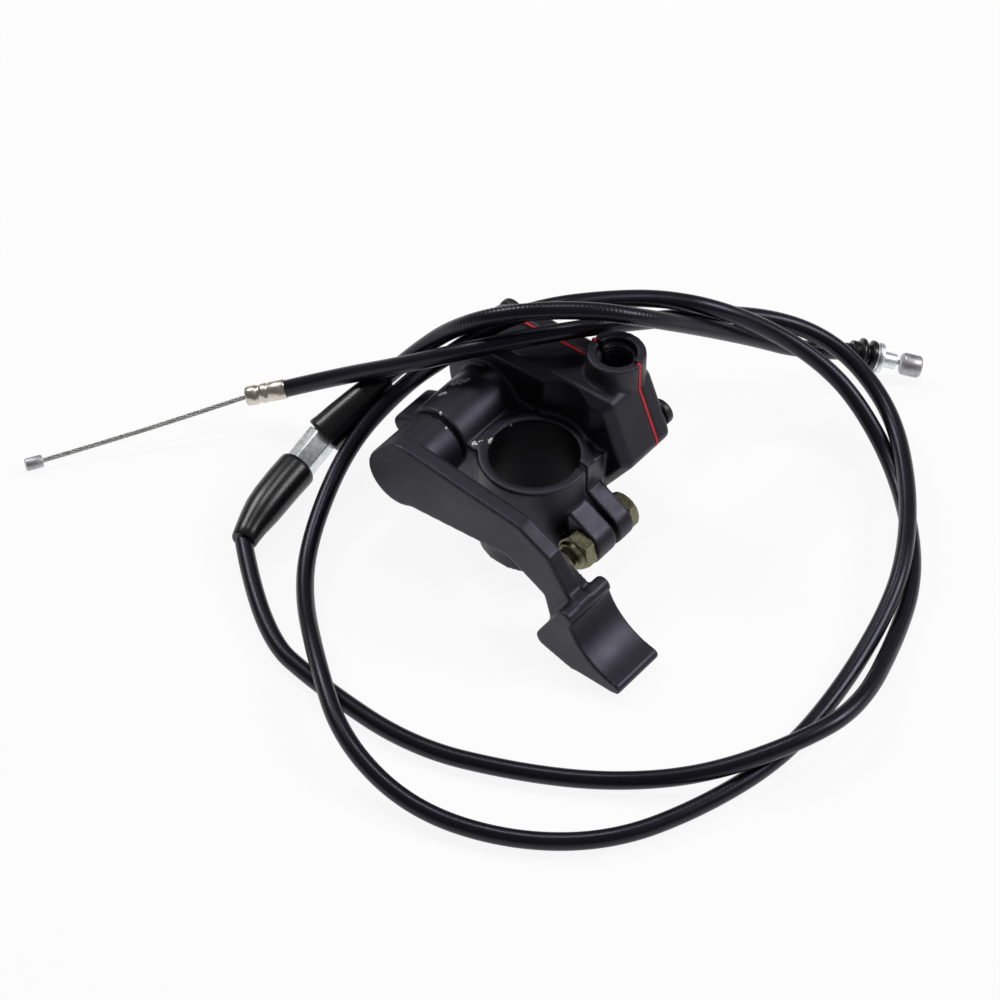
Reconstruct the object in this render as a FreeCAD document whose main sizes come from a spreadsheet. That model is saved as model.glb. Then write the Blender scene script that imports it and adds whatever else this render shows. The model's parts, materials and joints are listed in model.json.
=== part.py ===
"""Thumb throttle lever with its detached control cable.

Row frame, millimetres: the handlebar clamp's bore runs along Z and its lower
face lies on z = 0. The lever pivots about an axis parallel to Y.
"""
import FreeCAD, Part
import math
import os
import re

import Sketcher
from FreeCAD import Placement, Rotation, Vector

SIZES = {
    # handlebar clamp
    "bar_radius": 11.1,
    "ring_wall": 2.7,
    "ring_height": 28.0,
    "slit_width": 1.4,
    "slit_middle": 3.9,
    "ear_front": -3.6,
    "ear_rear": 10.0,
    "ear_radius": 5.4,
    "ear_root_x": 6.0,
    "ear_root_z": 15.0,
    "ear_root_radius": 7.0,
    "corner_block_width": 12.6,
    "corner_block_top": 27.2,
    # clamp bolt
    "bolt_x": 17.9,
    "bolt_z": 10.2,
    "bolt_radius": 3.0,
    "bolt_clearance": 0.25,
    "bolt_overhang": 2.4,
    "hex_flats": 9.0,
    "head_height": 3.2,
    "nut_height": 5.0,
    "spot_face_radius": 5.5,
    # pivot
    "pivot_x": -23.0,
    "pivot_z": 24.0,
    "barrel_radius": 9.2,
    "barrel_front": -8.3,
    "shaft_radius": 3.5,
    "shaft_clearance": 0.05,
    "bush_wall": 1.6,
    "bush_length": 9.3,
    "seal_length": 2.0,
    # case outline: four rounded corners
    "case_front": 12.0,
    "seam_y": 24.0,
    "lobe_radius": 15.7,
    "corner_x": 10.2,
    "corner_z": 38.5,
    "corner_radius": 3.0,
    "side_x": 16.0,
    "side_z": 24.6,
    "side_radius": 3.0,
    "foot_x": 1.0,
    "foot_z": 9.6,
    "foot_radius": 7.2,
    "case_wall": 2.4,
    "case_bevel": 2.2,
    "scallop_radius": 13.9,
    "gasket_thickness": 0.8,
    "cover_depth": 5.6,
    "cover_wall": 2.2,
    "cover_bevel": 1.6,
    # cable inlet boss
    "boss_x": 5.8,
    "boss_radius": 7.3,
    "boss_rise": 6.0,
    "boss_root": 36.0,
    "inlet_low": 34.3,
    "inlet_radius": 3.85,
    "inlet_recess_radius": 5.0,
    "inlet_recess_depth": 2.2,
    # cover screws
    "screw_radius": 2.0,
    "screw_depth": 6.0,
    "screw_end_gap": 0.5,
    "screw_head_radius": 3.5,
    "screw_head_height": 2.2,
    "post_radius": 3.4,
    "side_screw_x": 14.2,
    "side_screw_z": 26.6,
    "lobe_screw_x": -32.3,
    "lobe_screw_z": 31.8,
    "low_screw_x": -9.0,
    "low_screw_z": 9.8,
    # cast lugs
    "web_width": 9.0,
    "web_low": 9.0,
    "web_top": 27.5,
    "web_front": -8.0,
    "lug_reach": 11.0,
    "lug_drop": 3.0,
    "lug_radius": 3.5,
    "lug_length": 12.0,
    # inner arm that pulls the cable
    "arm_gap": 3.8,
    "arm_thickness": 2.8,
    "arm_reach": 27.0,
    "arm_angle": 15.0,
    "arm_hub_radius": 6.5,
    "arm_end_radius": 3.2,
    "arm_hole_radius": 1.6,
    "arm_slot_width": 1.8,
    "lock_washer_thickness": 0.8,
    "lock_washer_radius": 6.0,
    "arm_nut_height": 3.2,
    "arm_nut_flats": 11.0,
    "shaft_overhang": 0.4,
    "spring_radius": 5.6,
    "spring_wire": 0.5,
    "spring_pitch": 1.1,
    "spring_turns": 2.0,
    "spring_corners": 8,
    "spring_leg": 5.5,
    # lever
    "hub_radius": 8.3,
    "hub_front": -25.0,
    "hub_gap": 0.8,
    "washer_thickness": 0.6,
    "washer_radius": 7.0,
    "shaft_seat": 3.0,
    "lever_thickness": 4.6,
    "root_x": -20.0,
    "root_z": 26.4,
    "root_radius": 9.4,
    "elbow_x": 13.2,
    "elbow_z": 26.9,
    "elbow_radius": 6.2,
    "wrist_x": 28.5,
    "wrist_z": 18.9,
    "wrist_radius": 6.3,
    "heel_x": 28.2,
    "heel_z": 8.2,
    "heel_radius": 3.1,
    "sole_x": 34.0,
    "sole_z": 3.6,
    "sole_radius": 3.5,
    "toe_x": 47.6,
    "toe_z": 2.7,
    "toe_radius": 1.5,
    "thumb_x": 51.3,
    "thumb_z": 21.8,
    "thumb_radius": 17.8,
    "wedge_heel_x": 27.2,
    "wedge_heel_z": 5.6,
    "wedge_sole_x": 35.0,
    "wedge_sole_z": 3.4,
    "wedge_radius": 2.6,
    "pad_thickness": 3.0,
    "pad_front": -29.5,
    "pad_width": 15.5,
    "pad_start_angle": 196.0,
    "pad_end_angle": 261.0,
    "crest_radius": 2.2,
    # control cable
    "casing_radius": 2.2,
    "wire_radius": 0.75,
    "cord_sides": 6,
    "carb_nipple_radius": 1.7,
    "ferrule_wall": 0.3,
    "boot_tip_wall": 0.7,
    "boot_body_wall": 1.7,
    "boot_rim_wall": 2.9,
    "adjuster_flats": 7.2,
    "grommet_sleeve_wall": 0.8,
    "grommet_flange_wall": 1.9,
    "grommet_waist_wall": 0.6,
    "flange_wall": 1.7,
    "end_tube_inset": 0.3,
    "lever_nipple_radius": 2.7,
}

doc = FreeCAD.newDocument("ThumbThrottle")
sheet = doc.addObject("Spreadsheet::Sheet", "Sizes")
for row, (alias, number) in enumerate(SIZES.items(), start=1):
    sheet.set("A%d" % row, alias)
    sheet.set("B%d" % row, str(number))
    sheet.setAlias("B%d" % row, alias)
doc.recompute()

PARTS = []


def formula(text):
    """Point each size's name at its cell in the sheet."""
    return re.sub(r"[a-z_]+", lambda word: "Sizes." + word[0] if word[0] in SIZES else word[0], str(text))


def value(text):
    """Number that an expression in the sheet's sizes gives now."""
    result = sheet.evalExpression(formula(text))
    return float(getattr(result, "Value", result))


def bind(target, path, text):
    """Tie one property of an object to the sheet."""
    target.setExpression(path, formula(text))


def register(piece, label):
    """Give a finished sub-part its label and keep it for export."""
    piece.Label = label
    PARTS.append(piece)
    return piece


PLANES = {"XY": ("XY_Plane", 1), "XZ": ("XZ_Plane", -1), "YZ": ("YZ_Plane", 1)}


def new_body(label):
    return register(doc.addObject("PartDesign::Body", label), label)


def new_sketch(body, plane, level):
    """Sketch on an origin plane of the body, moved to a level along the row axis."""
    role, sign = PLANES[plane]
    sketch = body.newObject("Sketcher::SketchObject", "Outline")
    support = [item for item in body.Origin.OriginFeatures if item.Role == role][0]
    sketch.AttachmentSupport = (support, [""])
    sketch.MapMode = "FlatFace"
    bind(sketch, "AttachmentOffset.Base.z", "%d * (%s)" % (sign, level))
    return sketch


def fix_point(sketch, geometry, end, across, up):
    """Hold a point of the sketch at two distances from its origin."""
    for kind, text in (("DistanceX", across), ("DistanceY", up)):
        index = sketch.addConstraint(Sketcher.Constraint(kind, -1, 1, geometry, end, value(text)))
        bind(sketch, "Constraints[%d]" % index, text)


def draw_circle(sketch, across, up, radius):
    centre = Vector(value(across), value(up), 0)
    index = sketch.addGeometry(Part.Circle(centre, Vector(0, 0, 1), value(radius)), False)
    fix_point(sketch, index, 3, across, up)
    limit = sketch.addConstraint(Sketcher.Constraint("Radius", index, value(radius)))
    bind(sketch, "Constraints[%d]" % limit, radius)


def draw_polygon(sketch, points):
    """Closed outline of straight edges through bound points."""
    corners = [Vector(value(across), value(up), 0) for across, up in points]
    edges = []
    for start, end in zip(corners, corners[1:] + corners[:1]):
        edges.append(sketch.addGeometry(Part.LineSegment(start, end), False))
    for place, edge in enumerate(edges):
        following = edges[(place + 1) % len(edges)]
        sketch.addConstraint(Sketcher.Constraint("Coincident", edge, 2, following, 1))
        fix_point(sketch, edge, 1, *points[place])


def draw_hull(sketch, circles):
    """Belt round circles given anticlockwise: arcs joined by tangent lines."""
    spots = [(Vector(value(x), value(y), 0), value(r)) for x, y, r in circles]
    count = len(spots)
    leave = []
    for place in range(count):
        centre, radius = spots[place]
        other, other_radius = spots[(place + 1) % count]
        run = other - centre
        leave.append(math.atan2(run.y, run.x) - math.acos((radius - other_radius) / run.Length))
    arcs = []
    for place, (centre, radius) in enumerate(spots):
        start = leave[place - 1]
        end = leave[place]
        while end <= start:
            end += 2 * math.pi
        arc = Part.ArcOfCircle(Part.Circle(centre, Vector(0, 0, 1), radius), start, end)
        arcs.append(sketch.addGeometry(arc, False))
    for place in range(count):
        after = (place + 1) % count
        angle = leave[place]
        outward = Vector(math.cos(angle), math.sin(angle), 0)
        start = spots[place][0] + outward * spots[place][1]
        end = spots[after][0] + outward * spots[after][1]
        line = sketch.addGeometry(Part.LineSegment(start, end), False)
        sketch.addConstraint(Sketcher.Constraint("Tangent", arcs[place], 2, line, 1))
        sketch.addConstraint(Sketcher.Constraint("Tangent", line, 2, arcs[after], 1))
    for arc, (across, up, radius) in zip(arcs, circles):
        fix_point(sketch, arc, 3, across, up)
        limit = sketch.addConstraint(Sketcher.Constraint("Radius", arc, value(radius)))
        bind(sketch, "Constraints[%d]" % limit, radius)


def draw_sector(sketch, x, y, inner, outer, start, end):
    """Curved plate between two radii and two angles, in degrees."""
    centre = Vector(value(x), value(y), 0)
    turn = [math.radians(value(start)), math.radians(value(end))]
    arcs = []
    for radius in (inner, outer):
        arc = Part.ArcOfCircle(Part.Circle(centre, Vector(0, 0, 1), value(radius)), *turn)
        arcs.append(sketch.addGeometry(arc, False))
    for end_point, angle in ((1, start), (2, end)):
        places = []
        for arc, radius in zip(arcs, (inner, outer)):
            across = "%s + (%s) * cos(%s)" % (x, radius, angle)
            up = "%s + (%s) * sin(%s)" % (y, radius, angle)
            fix_point(sketch, arc, end_point, across, up)
            places.append(Vector(value(across), value(up), 0))
        edge = sketch.addGeometry(Part.LineSegment(*places), False)
        sketch.addConstraint(Sketcher.Constraint("Coincident", arcs[0], end_point, edge, 1))
        sketch.addConstraint(Sketcher.Constraint("Coincident", arcs[1], end_point, edge, 2))
    for arc, radius in zip(arcs, (inner, outer)):
        limit = sketch.addConstraint(Sketcher.Constraint("Radius", arc, value(radius)))
        bind(sketch, "Constraints[%d]" % limit, radius)


def settle(feature):
    """Recompute, and stop where the new feature failed."""
    doc.recompute()
    if not feature.isValid() or feature.Shape.isNull():
        raise RuntimeError("%s in %s failed: %s" % (feature.Name, feature.getParentGeoFeatureGroup().Label,
                                                     feature.getStatusString()))
    return feature


def add(body, plane, start, end, draw, *shape):
    """Pad from one level to a higher one along the plane's row axis."""
    sketch = new_sketch(body, plane, start)
    draw(sketch, *shape)
    pad = body.newObject("PartDesign::Pad", "Pad")
    pad.Profile = sketch
    pad.Reversed = plane == "XZ"
    bind(pad, "Length", "(%s) - (%s)" % (end, start))
    return settle(pad)


def cut(body, plane, start, end, draw, *shape):
    """Pocket from one level to a higher one; it has to remove something."""
    before = body.Shape.Volume
    sketch = new_sketch(body, plane, start)
    draw(sketch, *shape)
    pocket = body.newObject("PartDesign::Pocket", "Pocket")
    pocket.Profile = sketch
    pocket.Reversed = plane != "XZ"
    bind(pocket, "Length", "(%s) - (%s)" % (end, start))
    settle(pocket)
    if body.Shape.Volume > before - 1e-3:
        raise RuntimeError("a cut in %s removes nothing" % body.Label)
    return pocket


def at_level(level):
    """Test for edges that lie at one level along Y."""
    return lambda edge: all(abs(corner.Point.y - value(level)) < 0.01 for corner in edge.Vertexes)


def dress_edges(body, kind, size, test):
    """Fillet or chamfer the edges that the test picks."""
    tip = body.Tip
    names = ["Edge%d" % number for number, edge in enumerate(tip.Shape.Edges, start=1) if test(edge)]
    if not names:
        raise RuntimeError("no edge to dress in %s" % body.Label)
    dressing = body.newObject("PartDesign::" + kind, kind)
    dressing.Base = (tip, names)
    bind(dressing, "Radius" if kind == "Fillet" else "Size", size)
    return settle(dressing)


def turned(label, base, direction, profile):
    """Turned piece: a half profile of (radius, height) spun about its own axis."""
    body = new_body(label)
    sketch = new_sketch(body, "XZ", "0")
    draw_polygon(sketch, profile)
    spin = body.newObject("PartDesign::Revolution", "Spin")
    spin.Profile = sketch
    spin.ReferenceAxis = (sketch, ["V_Axis"])
    spin.Angle = 360
    rotation = Rotation(Vector(0, 0, 1), Vector(*direction))
    body.Placement = Placement(Vector(0, 0, 0), rotation)
    for axis, text in zip("xyz", base):
        bind(body, "Placement.Base." + axis, text)
    doc.recompute()
    return body


def sleeve(inner, outer, length):
    return [(inner, "0"), (outer, "0"), (outer, length), (inner, length)]


SEAM_FRONT = "seam_y - gasket_thickness / 2"
SEAM_REAR = "seam_y + gasket_thickness / 2"
COVER_BACK = SEAM_REAR + " + cover_depth"
CAVITY_FLOOR = "scallop_radius + case_wall"
RING_OUTER = "bar_radius + ring_wall"
BORE_RADIUS = "shaft_radius + shaft_clearance + bush_wall"
CASE_TOP = "(corner_z + corner_radius)"
BOSS_TOP = CASE_TOP + " + boss_rise"
BUSH_INNER = "shaft_radius + shaft_clearance"
HUB_BACK = "barrel_front - hub_gap"
ARM_FRONT = CAVITY_FLOOR + " + arm_gap"
ARM_BACK = ARM_FRONT + " + arm_thickness"
WASHER_BACK = ARM_BACK + " + lock_washer_thickness"
NUT_BACK = WASHER_BACK + " + arm_nut_height"
Y_AXIS = (0, 1, 0)
SCREWS = (
    ("side_screw_x", "side_screw_z"),
    ("lobe_screw_x", "lobe_screw_z"),
    ("low_screw_x", "low_screw_z"),
)


def case_outline(inset):
    """Rounded outline of the case in the XZ plane, drawn in by an inset."""
    corners = (
        ("foot_x", "foot_z", "foot_radius"),
        ("side_x", "side_z", "side_radius"),
        ("corner_x", "corner_z", "corner_radius"),
        ("pivot_x", "pivot_z", "lobe_radius"),
    )
    return [(x, z, "%s - %s" % (radius, inset)) for x, z, radius in corners]


def rectangle(low_x, low_y, high_x, high_y):
    return [(low_x, low_y), (high_x, low_y), (high_x, high_y), (low_x, high_y)]


def inlet_cuts(body):
    """Cable inlet: a bore up through the boss with a wider recess at its mouth."""
    cut(body, "XY", "inlet_low", BOSS_TOP + " + 1", draw_circle, "boss_x", "seam_y", "inlet_radius")
    recess = BOSS_TOP + " - inlet_recess_depth"
    cut(body, "XY", recess, BOSS_TOP + " + 1", draw_circle, "boss_x", "seam_y", "inlet_recess_radius")


def build_housing():
    body = new_body("housing_body")
    add(body, "XZ", "case_front", SEAM_FRONT, draw_hull, case_outline("0"))
    dress_edges(body, "Chamfer", "case_bevel", at_level("case_front"))
    add(body, "XZ", "barrel_front", "case_front + 1", draw_circle, "pivot_x", "pivot_z", "barrel_radius")
    web = rectangle("pivot_x + barrel_radius / 2", "web_front", "pivot_x + barrel_radius / 2 + web_width",
                    "case_front + 1")
    add(body, "XY", "web_low", "web_top", draw_polygon, web)
    add(body, "XY", "0", "ring_height", draw_circle, "0", "0", RING_OUTER)
    ears = [("ear_root_x", "ear_root_z", "ear_root_radius"), ("bolt_x", "bolt_z", "ear_radius")]
    add(body, "XZ", "ear_front", "ear_rear", draw_hull, ears)
    block = rectangle("ear_root_x", "slit_middle", "corner_block_width", "case_front + 1")
    add(body, "XY", "ear_root_z - ear_root_radius", "corner_block_top", draw_polygon, block)
    lug = [("pivot_x - lug_reach", "pivot_z - lug_drop", "lug_radius"), ("pivot_x", "pivot_z", "lug_radius + 2")]
    add(body, "XZ", "barrel_front", "barrel_front + lug_length", draw_hull, lug)
    add(body, "XY", "boss_root", BOSS_TOP, draw_circle, "boss_x", "seam_y", "boss_radius")
    beyond = rectangle("pivot_x - 2 * lobe_radius", "-1", "side_x + 2 * lobe_radius", BOSS_TOP + " + 1")
    cut(body, "XZ", SEAM_FRONT, "seam_y + boss_radius + 1", draw_polygon, beyond)
    cut(body, "XZ", CAVITY_FLOOR, SEAM_FRONT, draw_hull, case_outline("case_wall"))
    for x, z in SCREWS:
        add(body, "XZ", "%s - 0.5" % CAVITY_FLOOR, SEAM_FRONT, draw_circle, x, z, "post_radius")
        cut(body, "XZ", "%s - screw_depth" % SEAM_FRONT, SEAM_FRONT, draw_circle, x, z, "screw_radius")
    cut(body, "XY", "-1", "ring_height + 1", draw_circle, "0", "0", "bar_radius")
    cut(body, "XY", "ring_height", BOSS_TOP, draw_circle, "0", "0", "scallop_radius")
    slit = rectangle("0", "slit_middle - slit_width / 2", "bolt_x + 2 * ear_radius",
                     "slit_middle + slit_width / 2")
    cut(body, "XY", "-1", "ring_height + 1", draw_polygon, slit)
    cut(body, "XZ", "ear_front - 1", "case_front - 1", draw_circle, "bolt_x", "bolt_z",
        "bolt_radius + bolt_clearance")
    for low, high in (("ear_front - nut_height - 2", "ear_front"), ("ear_rear", "case_front + head_height")):
        cut(body, "XZ", low, high, draw_circle, "bolt_x", "bolt_z", "spot_face_radius")
    cut(body, "XZ", "barrel_front - 1", "%s + 1" % CAVITY_FLOOR, draw_circle, "pivot_x", "pivot_z", BORE_RADIUS)
    inlet_cuts(body)
    return body


def build_cover():
    body = new_body("housing_cover")
    add(body, "XZ", SEAM_REAR, COVER_BACK, draw_hull, case_outline("0"))
    dress_edges(body, "Chamfer", "cover_bevel", at_level(COVER_BACK))
    add(body, "XY", "boss_root", BOSS_TOP, draw_circle, "boss_x", "seam_y", "boss_radius")
    before = rectangle("pivot_x - 2 * lobe_radius", "-1", "side_x + 2 * lobe_radius", BOSS_TOP + " + 1")
    cut(body, "XZ", "case_front", SEAM_REAR, draw_polygon, before)
    cut(body, "XZ", SEAM_REAR, "%s - cover_wall" % COVER_BACK, draw_hull, case_outline("case_wall"))
    for x, z in SCREWS:
        add(body, "XZ", SEAM_REAR, "%s - 0.5" % COVER_BACK, draw_circle, x, z, "post_radius")
        cut(body, "XZ", SEAM_REAR, "%s + 1" % COVER_BACK, draw_circle, x, z, "screw_radius")
    inlet_cuts(body)
    return body


def build_gasket():
    body = new_body("cover_gasket")
    add(body, "XZ", SEAM_FRONT, SEAM_REAR, draw_hull, case_outline("0"))
    strip = rectangle("boss_x - boss_radius", "boss_root", "boss_x + boss_radius", BOSS_TOP)
    add(body, "XZ", SEAM_FRONT, SEAM_REAR, draw_polygon, strip)
    cut(body, "XZ", SEAM_FRONT, SEAM_REAR, draw_hull, case_outline("case_wall"))
    for x, z in SCREWS:
        add(body, "XZ", SEAM_FRONT, SEAM_REAR, draw_circle, x, z, "post_radius")
        cut(body, "XZ", SEAM_FRONT, SEAM_REAR, draw_circle, x, z, "screw_radius")
    inlet_cuts(body)
    return body


def build_cover_screws():
    """Three pan-head screws as separate solids of one node."""
    screws = []
    for x, z in SCREWS:
        shank = doc.addObject("Part::Cylinder", "ScrewShank")
        head = doc.addObject("Part::Cylinder", "ScrewHead")
        bind(shank, "Radius", "screw_radius")
        bind(shank, "Height", "cover_depth + gasket_thickness + screw_depth - screw_end_gap")
        bind(head, "Radius", "screw_head_radius")
        bind(head, "Height", "screw_head_height")
        low = SEAM_FRONT + " - screw_depth + screw_end_gap"
        for piece, level in ((shank, low), (head, COVER_BACK)):
            piece.Placement = Placement(Vector(0, 0, 0), Rotation(Vector(0, 0, 1), Vector(0, 1, 0)))
            for axis, text in zip("xyz", (x, level, z)):
                bind(piece, "Placement.Base." + axis, text)
        screw = doc.addObject("Part::MultiFuse", "Screw")
        screw.Shapes = [shank, head]
        screws.append(screw)
    doc.recompute()
    group = doc.addObject("Part::Compound", "cover_screws")
    group.Links = screws
    return register(group, "cover_screws")


def hexagon(x, z, flats):
    """Corner points of a hexagon with a corner up."""
    half = "(%s) / 2" % flats
    corner = "(%s) / sqrt(3)" % flats
    return [
        ("%s + %s" % (x, half), "%s + %s / 2" % (z, corner)),
        (x, "%s + %s" % (z, corner)),
        ("%s - %s" % (x, half), "%s + %s / 2" % (z, corner)),
        ("%s - %s" % (x, half), "%s - %s / 2" % (z, corner)),
        (x, "%s - %s" % (z, corner)),
        ("%s + %s" % (x, half), "%s - %s / 2" % (z, corner)),
    ]


def build_clamp_bolt():
    body = new_body("clamp_bolt")
    add(body, "XZ", "ear_rear", "ear_rear + head_height", draw_polygon, hexagon("bolt_x", "bolt_z", "hex_flats"))
    add(body, "XZ", "ear_front - nut_height - bolt_overhang", "ear_rear", draw_circle, "bolt_x", "bolt_z",
        "bolt_radius")


def build_clamp_nut():
    body = new_body("clamp_nut")
    add(body, "XZ", "ear_front - nut_height", "ear_front", draw_polygon, hexagon("bolt_x", "bolt_z", "hex_flats"))
    cut(body, "XZ", "ear_front - nut_height", "ear_front", draw_circle, "bolt_x", "bolt_z", "bolt_radius")


def build_bearings():
    """Seal and two bushes in the barrel."""
    seal = sleeve(BUSH_INNER, BORE_RADIUS, "seal_length")
    turned("shaft_seal", ("pivot_x", "barrel_front", "pivot_z"), Y_AXIS, seal)
    bush = sleeve(BUSH_INNER, BORE_RADIUS, "bush_length")
    turned("front_bush", ("pivot_x", "barrel_front + seal_length", "pivot_z"), Y_AXIS, bush)
    turned("rear_bush", ("pivot_x", CAVITY_FLOOR + " - bush_length", "pivot_z"), Y_AXIS, bush)


def build_shaft():
    length = "(%s) + shaft_overhang - hub_front - shaft_seat" % NUT_BACK
    profile = [("0", "0"), ("shaft_radius", "0"), ("shaft_radius", length), ("0", length)]
    turned("pivot_shaft", ("pivot_x", "hub_front + shaft_seat", "pivot_z"), Y_AXIS, profile)
    washer = sleeve(BUSH_INNER, "washer_radius", "washer_thickness")
    turned("thrust_washer", ("pivot_x", "barrel_front - (hub_gap + washer_thickness) / 2", "pivot_z"), Y_AXIS, washer)


def build_cable_arm():
    body = new_body("cable_arm")
    tip_x = "pivot_x + arm_reach * cos(arm_angle)"
    tip_z = "pivot_z + arm_reach * sin(arm_angle)"
    outline = [("pivot_x", "pivot_z", "arm_hub_radius"), (tip_x, tip_z, "arm_end_radius")]
    add(body, "XZ", ARM_FRONT, ARM_BACK, draw_hull, outline)
    cut(body, "XZ", ARM_FRONT, ARM_BACK, draw_circle, "pivot_x", "pivot_z", "shaft_radius")
    cut(body, "XZ", ARM_FRONT, ARM_BACK, draw_circle, tip_x, tip_z, "arm_hole_radius")
    slot = rectangle(tip_x, tip_z + " - arm_slot_width / 2", tip_x + " + 2 * arm_end_radius",
                     tip_z + " + arm_slot_width / 2")
    cut(body, "XZ", ARM_FRONT, ARM_BACK, draw_polygon, slot)
    washer = sleeve("shaft_radius", "lock_washer_radius", "lock_washer_thickness")
    turned("arm_lock_washer", ("pivot_x", ARM_BACK, "pivot_z"), Y_AXIS, washer)
    nut = new_body("arm_nut")
    add(nut, "XZ", WASHER_BACK, NUT_BACK, draw_polygon, hexagon("pivot_x", "pivot_z", "arm_nut_flats"))
    cut(nut, "XZ", WASHER_BACK, NUT_BACK, draw_circle, "pivot_x", "pivot_z", "shaft_radius")


def build_spring():
    """Return spring: close coils of round wire about the shaft, with a straight leg at each end."""
    corners = int(value("spring_corners"))
    reach = value("spring_radius") / math.cos(math.pi / corners)
    height = value("spring_pitch") * value("spring_turns")
    level = value(CAVITY_FLOOR) + (value("arm_gap") - height) / 2
    coil = []
    for step in range(int(corners * value("spring_turns")) + 1):
        angle = 2 * math.pi * step / corners
        coil.append(Vector(value("pivot_x") + reach * math.cos(angle),
                           level + value("spring_pitch") * step / corners,
                           value("pivot_z") + reach * math.sin(angle)))
    first_leg = (coil[0] - coil[1]).normalize() * value("spring_leg")
    last_leg = (coil[-1] - coil[-2]).normalize() * value("spring_leg")
    ends = [coil[0] + first_leg], [coil[-1] + last_leg]
    cord("return_spring", ends[0] + coil[1:-1] + ends[1], "spring_wire")


def build_lever():
    body = new_body("thumb_lever")
    back = "hub_front + lever_thickness"
    root = ("root_x", "root_z", "root_radius")
    elbow = ("elbow_x", "elbow_z", "elbow_radius")
    wrist = ("wrist_x", "wrist_z", "wrist_radius")
    heel = ("heel_x", "heel_z", "heel_radius")
    sole = ("sole_x", "sole_z", "sole_radius")
    toe = ("toe_x", "toe_z", "toe_radius")
    middle_radius = "(thumb_radius + pad_thickness / 2)"
    crest_x = "thumb_x + %s * cos(pad_start_angle)" % middle_radius
    crest_z = "thumb_z + %s * sin(pad_start_angle)" % middle_radius
    crest = (crest_x, crest_z, "crest_radius")
    add(body, "XZ", "hub_front", back, draw_hull, [root, elbow])
    add(body, "XZ", "hub_front", back, draw_hull, [wrist, elbow])
    add(body, "XZ", "hub_front", back, draw_hull, [heel, sole, toe, crest, wrist])
    pad_back = "pad_front + pad_width"
    wedge = [("wedge_heel_x", "wedge_heel_z", "wedge_radius"), ("wedge_sole_x", "wedge_sole_z", "wedge_radius"),
             toe, crest]
    add(body, "XZ", "pad_front", pad_back, draw_hull, wedge)
    cut(body, "XZ", "pad_front", pad_back, draw_circle, "thumb_x", "thumb_z", "thumb_radius")
    add(body, "XZ", "hub_front", HUB_BACK, draw_circle, "pivot_x", "pivot_z", "hub_radius")
    add(body, "XZ", "pad_front", pad_back, draw_sector, "thumb_x", "thumb_z", "thumb_radius",
        "thumb_radius + pad_thickness", "pad_start_angle", "pad_end_angle")
    add(body, "XZ", "pad_front", pad_back, draw_circle, *crest)
    add(body, "XZ", "pad_front", pad_back, draw_circle, "thumb_x + %s * cos(pad_end_angle)" % middle_radius,
        "thumb_z + %s * sin(pad_end_angle)" % middle_radius, "pad_thickness / 2")
    cut(body, "XZ", "hub_front + shaft_seat", HUB_BACK, draw_circle, "pivot_x", "pivot_z", "shaft_radius")
    return body


# Routes of the control cable's two casings, chosen by hand to follow its loops.
LONG_ROUTE = (
    (-72, -9.5, 11), (-59.5, -4, 19), (-41, 0.5, 31.5), (-25.5, 6.2, 42), (-13.5, 17, 46), (-3.5, 29, 46.5),
    (2, 47, 38.5), (7.5, 64, 31), (16, 78, 23.5), (26, 85, 17.5), (37.5, 85.5, 12.5), (51.5, 79.5, 8.5),
    (67, 63.5, 8), (79, 45.5, 8), (85, 30, 5.5), (89.5, 6, 2.5), (91.5, -20, 2.5), (86, -44, 2.5),
    (76, -65.5, 2.5), (57.5, -80.5, 2.5), (34.5, -88, 3.5), (11.5, -85, 7.5), (-8.5, -71, 8.5),
    (-29, -53, 3.5), (-40, -36.5, 4.5), (-47.5, -14, 11), (-43, 2.5, 22), (-32.5, 7.5, 35),
    (-24.5, 15.5, 45), (-16, 26, 48), (-7.7, 39, 45.5), (0, 49.5, 42.5), (10, 58, 39), (19, 69, 29),
    (29.5, 75.5, 20), (40, 77.5, 12), (55, 72.5, 4), (70.5, 59.5, 2.5), (83, 44, 2.5), (90.5, 26, 2.5),
    (99, -1, 8), (94, -20.5, 9), (82, -39, 6), (65, -52, 2.5), (46, -63.5, 2.5), (22.5, -73, 2.5),
    (-6, -72.5, 2.5), (-28.5, -69, 2.5), (-50, -50.5, 4.5),
)
SHORT_ROUTE = (
    (-49.3, 2.6, 20), (-40.3, 8.2, 34), (-27, 9.5, 48.5), (-15.5, 15.6, 54.2), (-3.5, 25.5, 54.5),
    (5.5, 35.3, 50), (10, 52, 37), (14.5, 69, 23), (20.4, 81.6, 12.5), (28, 92.6, 8.5),
)
WIRE_ROUTE = ((-108.6, -60.2, 1.8), (-94, -36.5, 3.6), (-79.5, -16, 8.5))

# Ends of the fittings that sit on the cable.
CARB_NIPPLE_END = (-111.0, -64.4, 1.8)
LOWER_RIM = (-54.5, -25.3, 6.8)
UPPER_RIM = (-54.1, -15.9, 10.8)
LEVER_END = (42.6, 104.0, 3.0)

# Where the grommet, the flanged tube and the bare wire end, as shares of the way to the nipple's end.
END_SHARES = (0.33, 0.63, 0.68)


def cord_path(points):
    """Straight runs joined by tangent arcs, each as large as its runs allow."""
    spots = [Vector(*point) for point in points]
    edges = []
    radii = []
    last = spots[0]
    for before, here, after in zip(spots, spots[1:], spots[2:]):
        arrive = (here - before).normalize()
        depart = (after - here).normalize()
        half = arrive.getAngle(depart) / 2
        reach = 0.45 * min((here - before).Length, (after - here).Length)
        radius = reach / math.tan(half)
        radii.append(radius)
        start = here - arrive * reach
        end = here + depart * reach
        inward = (depart - arrive).normalize()
        middle = here + inward * (radius / math.cos(half) - radius)
        edges.append(Part.LineSegment(last, start).toShape())
        edges.append(Part.Arc(start, middle, end).toShape())
        last = end
    edges.append(Part.LineSegment(last, spots[-1]).toShape())
    return Part.Wire(edges), radii


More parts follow.
